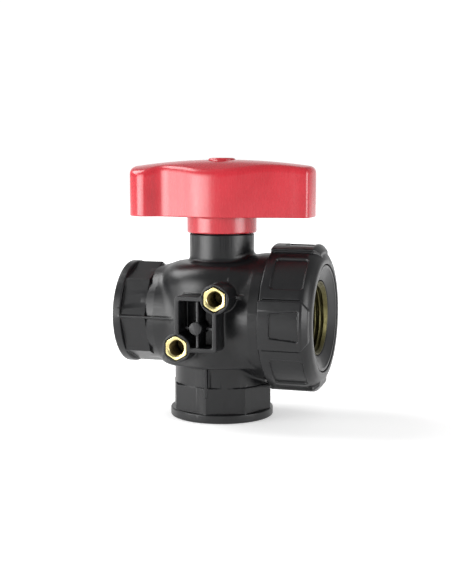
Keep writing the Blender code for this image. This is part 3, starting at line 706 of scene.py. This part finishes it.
class Shader:
    """Node helpers for one material."""

    def __init__(self, name):
        self.material = bpy.data.materials.new(name)
        self.material.use_nodes = True
        self.nodes = self.material.node_tree.nodes
        self.links = self.material.node_tree.links
        self.main = self.nodes["Principled BSDF"]
        self.place = self.nodes.new("ShaderNodeTexCoord").outputs["Object"]

    def set(self, **values):
        for name, value in values.items():
            self.main.inputs[name.replace("_", " ")].default_value = value

    def join(self, source, target):
        self.links.new(source, target)

    def noise(self, scale, detail=4.0, rough=0.55, place=None):
        node = self.nodes.new("ShaderNodeTexNoise")
        node.inputs["Scale"].default_value = scale
        node.inputs["Detail"].default_value = detail
        node.inputs["Roughness"].default_value = rough
        self.join(place or self.place, node.inputs["Vector"])
        return node.outputs["Fac"]

    def ramp(self, source, low, high, start=0.0, end=1.0):
        """source remapped from low..high to start..end."""
        node = self.nodes.new("ShaderNodeMapRange")
        for key, value in zip(("From Min", "From Max", "To Min", "To Max"), (low, high, start, end)):
            node.inputs[key].default_value = value
        self.join(source, node.inputs["Value"])
        return node.outputs["Result"]

    def mix(self, share, first, second):
        """A colour between two, each a colour or a socket."""
        node = self.nodes.new("ShaderNodeMix")
        node.data_type = "RGBA"
        sockets = [s for s in node.inputs if s.type == "RGBA"]
        for socket, value in zip(sockets, (first, second)):
            if isinstance(value, tuple):
                socket.default_value = (*value, 1.0)
            else:
                self.join(value, socket)
        self.join(share, node.inputs["Factor"])
        return next(s for s in node.outputs if s.type == "RGBA")

    def math(self, operation, a, b):
        node = self.nodes.new("ShaderNodeMath")
        node.operation = operation
        for socket, value in zip(node.inputs, (a, b)):
            if isinstance(value, (int, float)):
                socket.default_value = value
            else:
                self.join(value, socket)
        return node.outputs["Value"]

    def edges(self, low, high):
        """How far a place stands on a raised edge, from 0 at low to 1 at high pointiness."""
        node = self.nodes.new("ShaderNodeNewGeometry")
        return self.ramp(node.outputs["Pointiness"], low, high)

    def stretched(self, scale):
        node = self.nodes.new("ShaderNodeMapping")
        node.inputs["Scale"].default_value = scale
        self.join(self.place, node.inputs["Vector"])
        return node.outputs["Vector"]

    def bump(self, height, strength, distance):
        node = self.nodes.new("ShaderNodeBump")
        node.inputs["Strength"].default_value = strength
        node.inputs["Distance"].default_value = distance
        self.join(height, node.inputs["Height"])
        self.join(node.outputs["Normal"], self.main.inputs["Normal"])


def black_plastic(name):
    """Glass-filled moulding: satin, faintly cloudy, a little paler on its edges."""
    base, rough = (0.0048, 0.0050, 0.0056), (0.28, 0.38)
    s = Shader(name)
    clouds = s.noise(90, 5)
    grain = s.noise(2600, 3)
    swirl = s.noise(260, 6, 0.7)
    light = tuple(c * 1.45 for c in base)
    colour = s.mix(s.ramp(clouds, 0.35, 0.7), base, light)
    worn = s.math("MULTIPLY", s.edges(0.52, 0.62), s.ramp(swirl, 0.35, 0.65))
    colour = s.mix(worn, colour, (0.020, 0.021, 0.023))
    s.join(colour, s.main.inputs["Base Color"])
    s.join(s.ramp(swirl, 0.3, 0.7, *rough), s.main.inputs["Roughness"])
    s.set(IOR=1.46)
    height = s.math("ADD", s.math("MULTIPLY", grain, 0.25), s.math("MULTIPLY", swirl, 0.75))
    s.bump(height, 0.35, 0.00008)
    return s.material


def red_plastic(name):
    """Satin gloss moulding, faintly cloudy, with paler edges and light upright scuffs."""
    s = Shader(name)
    clouds, grain = s.noise(60, 4), s.noise(2200, 2)
    scuffs = s.noise(500, 6, 0.75, s.stretched((1, 1, 0.25)))
    colour = s.mix(s.ramp(clouds, 0.35, 0.65), (0.42, 0.013, 0.023), (0.47, 0.018, 0.030))
    colour = s.mix(s.math("MULTIPLY", s.edges(0.53, 0.66), 0.5), colour, (0.52, 0.06, 0.075))
    s.join(colour, s.main.inputs["Base Color"])
    s.join(s.ramp(scuffs, 0.3, 0.75, 0.22, 0.34), s.main.inputs["Roughness"])
    s.set(IOR=1.52, Coat_Weight=0.25, Coat_Roughness=0.12)
    s.bump(s.math("ADD", s.math("MULTIPLY", grain, 0.3), scuffs), 0.12, 0.00003)
    return s.material


def metal(name, bright, dull, rough=(0.16, 0.3)):
    """Turned metal with fine tool marks and darker, rougher patches."""
    s = Shader(name)
    marks = s.noise(1500, 2, 0.5, s.stretched((0.3, 1.0, 0.3)))
    stain = s.noise(420, 5, 0.65)
    s.join(s.mix(s.ramp(stain, 0.42, 0.72), bright, dull), s.main.inputs["Base Color"])
    s.join(s.ramp(stain, 0.3, 0.7, *rough), s.main.inputs["Roughness"])
    s.set(Metallic=1.0)
    s.bump(marks, 0.25, 0.00003)
    return s.material


def rubber(name):
    s = Shader(name)
    dust = s.noise(700, 5)
    colour = s.mix(s.ramp(dust, 0.4, 0.75), (0.012, 0.012, 0.013), (0.035, 0.034, 0.033))
    s.join(colour, s.main.inputs["Base Color"])
    s.join(s.ramp(dust, 0.3, 0.7, 0.55, 0.8), s.main.inputs["Roughness"])
    s.bump(s.noise(3000, 3), 0.3, 0.00004)
    return s.material


def white_plastic(name):
    s = Shader(name)
    wear = s.noise(300, 6, 0.7, s.stretched((1, 1, 3)))
    colour = s.mix(s.ramp(wear, 0.4, 0.8), (0.80, 0.79, 0.75), (0.66, 0.64, 0.59))
    s.join(colour, s.main.inputs["Base Color"])
    s.join(s.ramp(wear, 0.3, 0.7, 0.25, 0.42), s.main.inputs["Roughness"])
    s.bump(s.noise(1800, 3), 0.2, 0.00004)
    return s.material


def give(made, material):
    """A piece's one finish, in its one material slot."""
    made.data.materials.clear()
    made.data.materials.append(material)


def dress_nodes(materials):
    """CAD nodes that stay get their own finish."""
    finishes = {
        "white_plastic": ("ball", "seat_left", "seat_right", "seat_bottom", "stem_thrust_washer"),
        "rubber": (
            "seat_left_o_ring", "seat_right_o_ring", "seat_bottom_o_ring",
            "stem_o_ring_lower", "stem_o_ring_upper", "connector_o_ring",
        ),
        "brass": ("stem",),
        "steel": ("handle_screw", "handle_washer"),
    }
    for slot, nodes in finishes.items():
        for name in nodes:
            node = frame["nodes"][name]
            node.data.materials.clear()
            node.data.materials.append(materials[slot])


# ---------------------------------------------------------------- studio

# Camera, in millimetres about the ball's centre, turned to the right of the front and raised
CAMERA_TURN, CAMERA_RISE, CAMERA_AWAY = math.radians(18.104), math.radians(6.478), 535.5
CAMERA_AIM = (2.044, 0.0, 10.674)
CAMERA_LENS = 67.96
ROOM_LIGHT, WALL_LIGHT = 0.36, 1.05
WALL_EDGE, WALL_FULL = 0.80, 0.93
SOFTBOX_SPREAD = 75
GLOW_NEAR, GLOW_FAR = (0.12, 0.42), (0.75, 1.0)
FLOOR_HALF, FLOOR_DROP = 3.0, 0.0002


def aim(made, place, target):
    made.location = place
    made.rotation_euler = (Vector(target) - Vector(place)).to_track_quat("-Z", "Y").to_euler()


def make_camera():
    camera = bpy.data.objects.new("camera", bpy.data.cameras.new("camera"))
    bpy.context.scene.collection.objects.link(camera)
    target = to_metres([CAMERA_AIM])[0]
    away = np.array([
        math.sin(CAMERA_TURN) * math.cos(CAMERA_RISE),
        -math.cos(CAMERA_TURN) * math.cos(CAMERA_RISE),
        math.sin(CAMERA_RISE),
    ]) * CAMERA_AWAY * MM
    aim(camera, target + away, target)
    camera.data.lens = CAMERA_LENS
    camera.data.sensor_width = 36
    camera.data.clip_start = 0.01
    bpy.context.scene.camera = camera


def area_light(name, place, target, size, power, spread=180):
    data = bpy.data.lights.new(name, "AREA")
    data.shape = "RECTANGLE"
    data.size, data.size_y = size
    data.energy = power
    data.spread = math.radians(spread)
    light = bpy.data.objects.new(name, data)
    bpy.context.scene.collection.objects.link(light)
    aim(light, place, target)
    light.visible_camera = False


def map_range(nodes, links, source, low, high, start, end):
    """source eased from low..high to start..end."""
    node = nodes.new("ShaderNodeMapRange")
    node.interpolation_type = "SMOOTHSTEP"
    for key, value in zip(("From Min", "From Max", "To Min", "To Max"), (low, high, start, end)):
        node.inputs[key].default_value = value
    links.new(source, node.inputs["Value"])
    return node.outputs["Result"]


def make_world():
    """A dim room with a white wall behind the valve."""
    world = bpy.data.worlds.new("studio")
    bpy.context.scene.world = world
    world.use_nodes = True
    nodes, links = world.node_tree.nodes, world.node_tree.links
    toward = nodes.new("ShaderNodeVectorMath")
    toward.operation = "DOT_PRODUCT"
    links.new(nodes.new("ShaderNodeTexCoord").outputs["Generated"], toward.inputs[0])
    toward.inputs[1].default_value = (-math.sin(CAMERA_TURN), math.cos(CAMERA_TURN), 0)
    facing = toward.outputs["Value"]
    wall = map_range(nodes, links, facing, WALL_EDGE, WALL_FULL, ROOM_LIGHT, WALL_LIGHT)
    links.new(wall, nodes["Background"].inputs["Strength"])
    nodes["Background"].inputs["Color"].default_value = (1, 1, 1, 1)


def softbox(name, turn, away, wide, low, high, radiance):
    """An upright softbox facing the stem, in metres. Its turn is measured from the front, to the right."""
    turn = math.radians(turn)
    middle = (low + high) / 2
    place = (STEM_AT[0] + away * math.sin(turn), STEM_AT[1] - away * math.cos(turn), middle)
    power = radiance * math.pi * wide * (high - low)
    target = (STEM_AT[0], STEM_AT[1], middle)
    area_light(name, place, target, (wide, high - low), power, SOFTBOX_SPREAD)


def make_studio():
    bpy.context.scene.view_settings.view_transform = "Standard"
    make_world()
    softbox("softbox_left", turn=-43, away=0.37, wide=0.31, low=0.0, high=0.46, radiance=1.30)
    softbox("softbox_right", turn=79, away=0.60, wide=0.40, low=0.02, high=0.50, radiance=1.1)
    area_light("softbox_top", (-0.78, 0.06, 0.80), (0, 0, 0.06), size=(0.6, 0.7), power=8)


def make_floor():
    bm = bmesh.new()
    bmesh.ops.create_grid(bm, x_segments=24, y_segments=24, size=FLOOR_HALF)
    mesh = bpy.data.meshes.new("floor")
    bm.to_mesh(mesh)
    bm.free()
    floor = bpy.data.objects.new("floor", mesh)
    bpy.context.scene.collection.objects.link(floor)
    floor.location = (0, 0, -FLOOR_DROP)
    s = Shader("pale_floor")
    s.join(s.mix(s.noise(3, 2), (0.93, 0.93, 0.93), (0.96, 0.96, 0.96)), s.main.inputs["Base Color"])
    s.set(Roughness=0.9, Specular_IOR_Level=0.1)
    # The table glows a little, and more so away from the valve, so that it meets the wall unseen
    distance = s.nodes.new("ShaderNodeVectorMath")
    distance.operation = "LENGTH"
    s.join(s.place, distance.inputs[0])
    (near, dim), (far, full) = GLOW_NEAR, GLOW_FAR
    glow = map_range(s.nodes, s.links, distance.outputs["Value"], near, far, dim, full)
    s.join(glow, s.main.inputs["Emission Strength"])
    s.main.inputs["Emission Color"].default_value = (1, 1, 1, 1)
    mesh.materials.append(s.material)


make_camera()
make_studio()
make_floor()
materials = {
    "white_plastic": white_plastic("seat_plastic"),
    "rubber": rubber("o_ring_rubber"),
    "brass": metal("stem_brass", (0.86, 0.70, 0.36), (0.62, 0.46, 0.20)),
    "steel": metal("screw_steel", (0.62, 0.62, 0.63), (0.45, 0.45, 0.46)),
}
dress_nodes(materials)
housing, nut, handle = make_moulded()
give(housing, black_plastic("housing_plastic"))
give(nut, black_plastic("nut_plastic"))
give(handle, red_plastic("handle_plastic"))
give(make_cap(), red_plastic("cap_plastic"))
give(make_connector(), black_plastic("connector_plastic"))
# The sleeve's brass is painted far darker than brass: painted shade for the shade deep inside the port.
give(make_sleeve(), metal("sleeve_brass_painted_shade", (0.11, 0.10, 0.045), (0.07, 0.06, 0.027), (0.35, 0.55)))
insert_brass = metal("insert_brass", (0.86, 0.75, 0.36), (0.66, 0.52, 0.22))
# The insert bore's dark brass is painted shade, standing in for the shade deep in each threaded hole.
insert_bore_painted_shade = metal("insert_bore_painted_shade", (0.16, 0.12, 0.05), (0.07, 0.05, 0.02), (0.4, 0.6))
for insert in make_inserts():
    give(insert, insert_brass)
    mark_bore(insert, insert_bore_painted_shade)
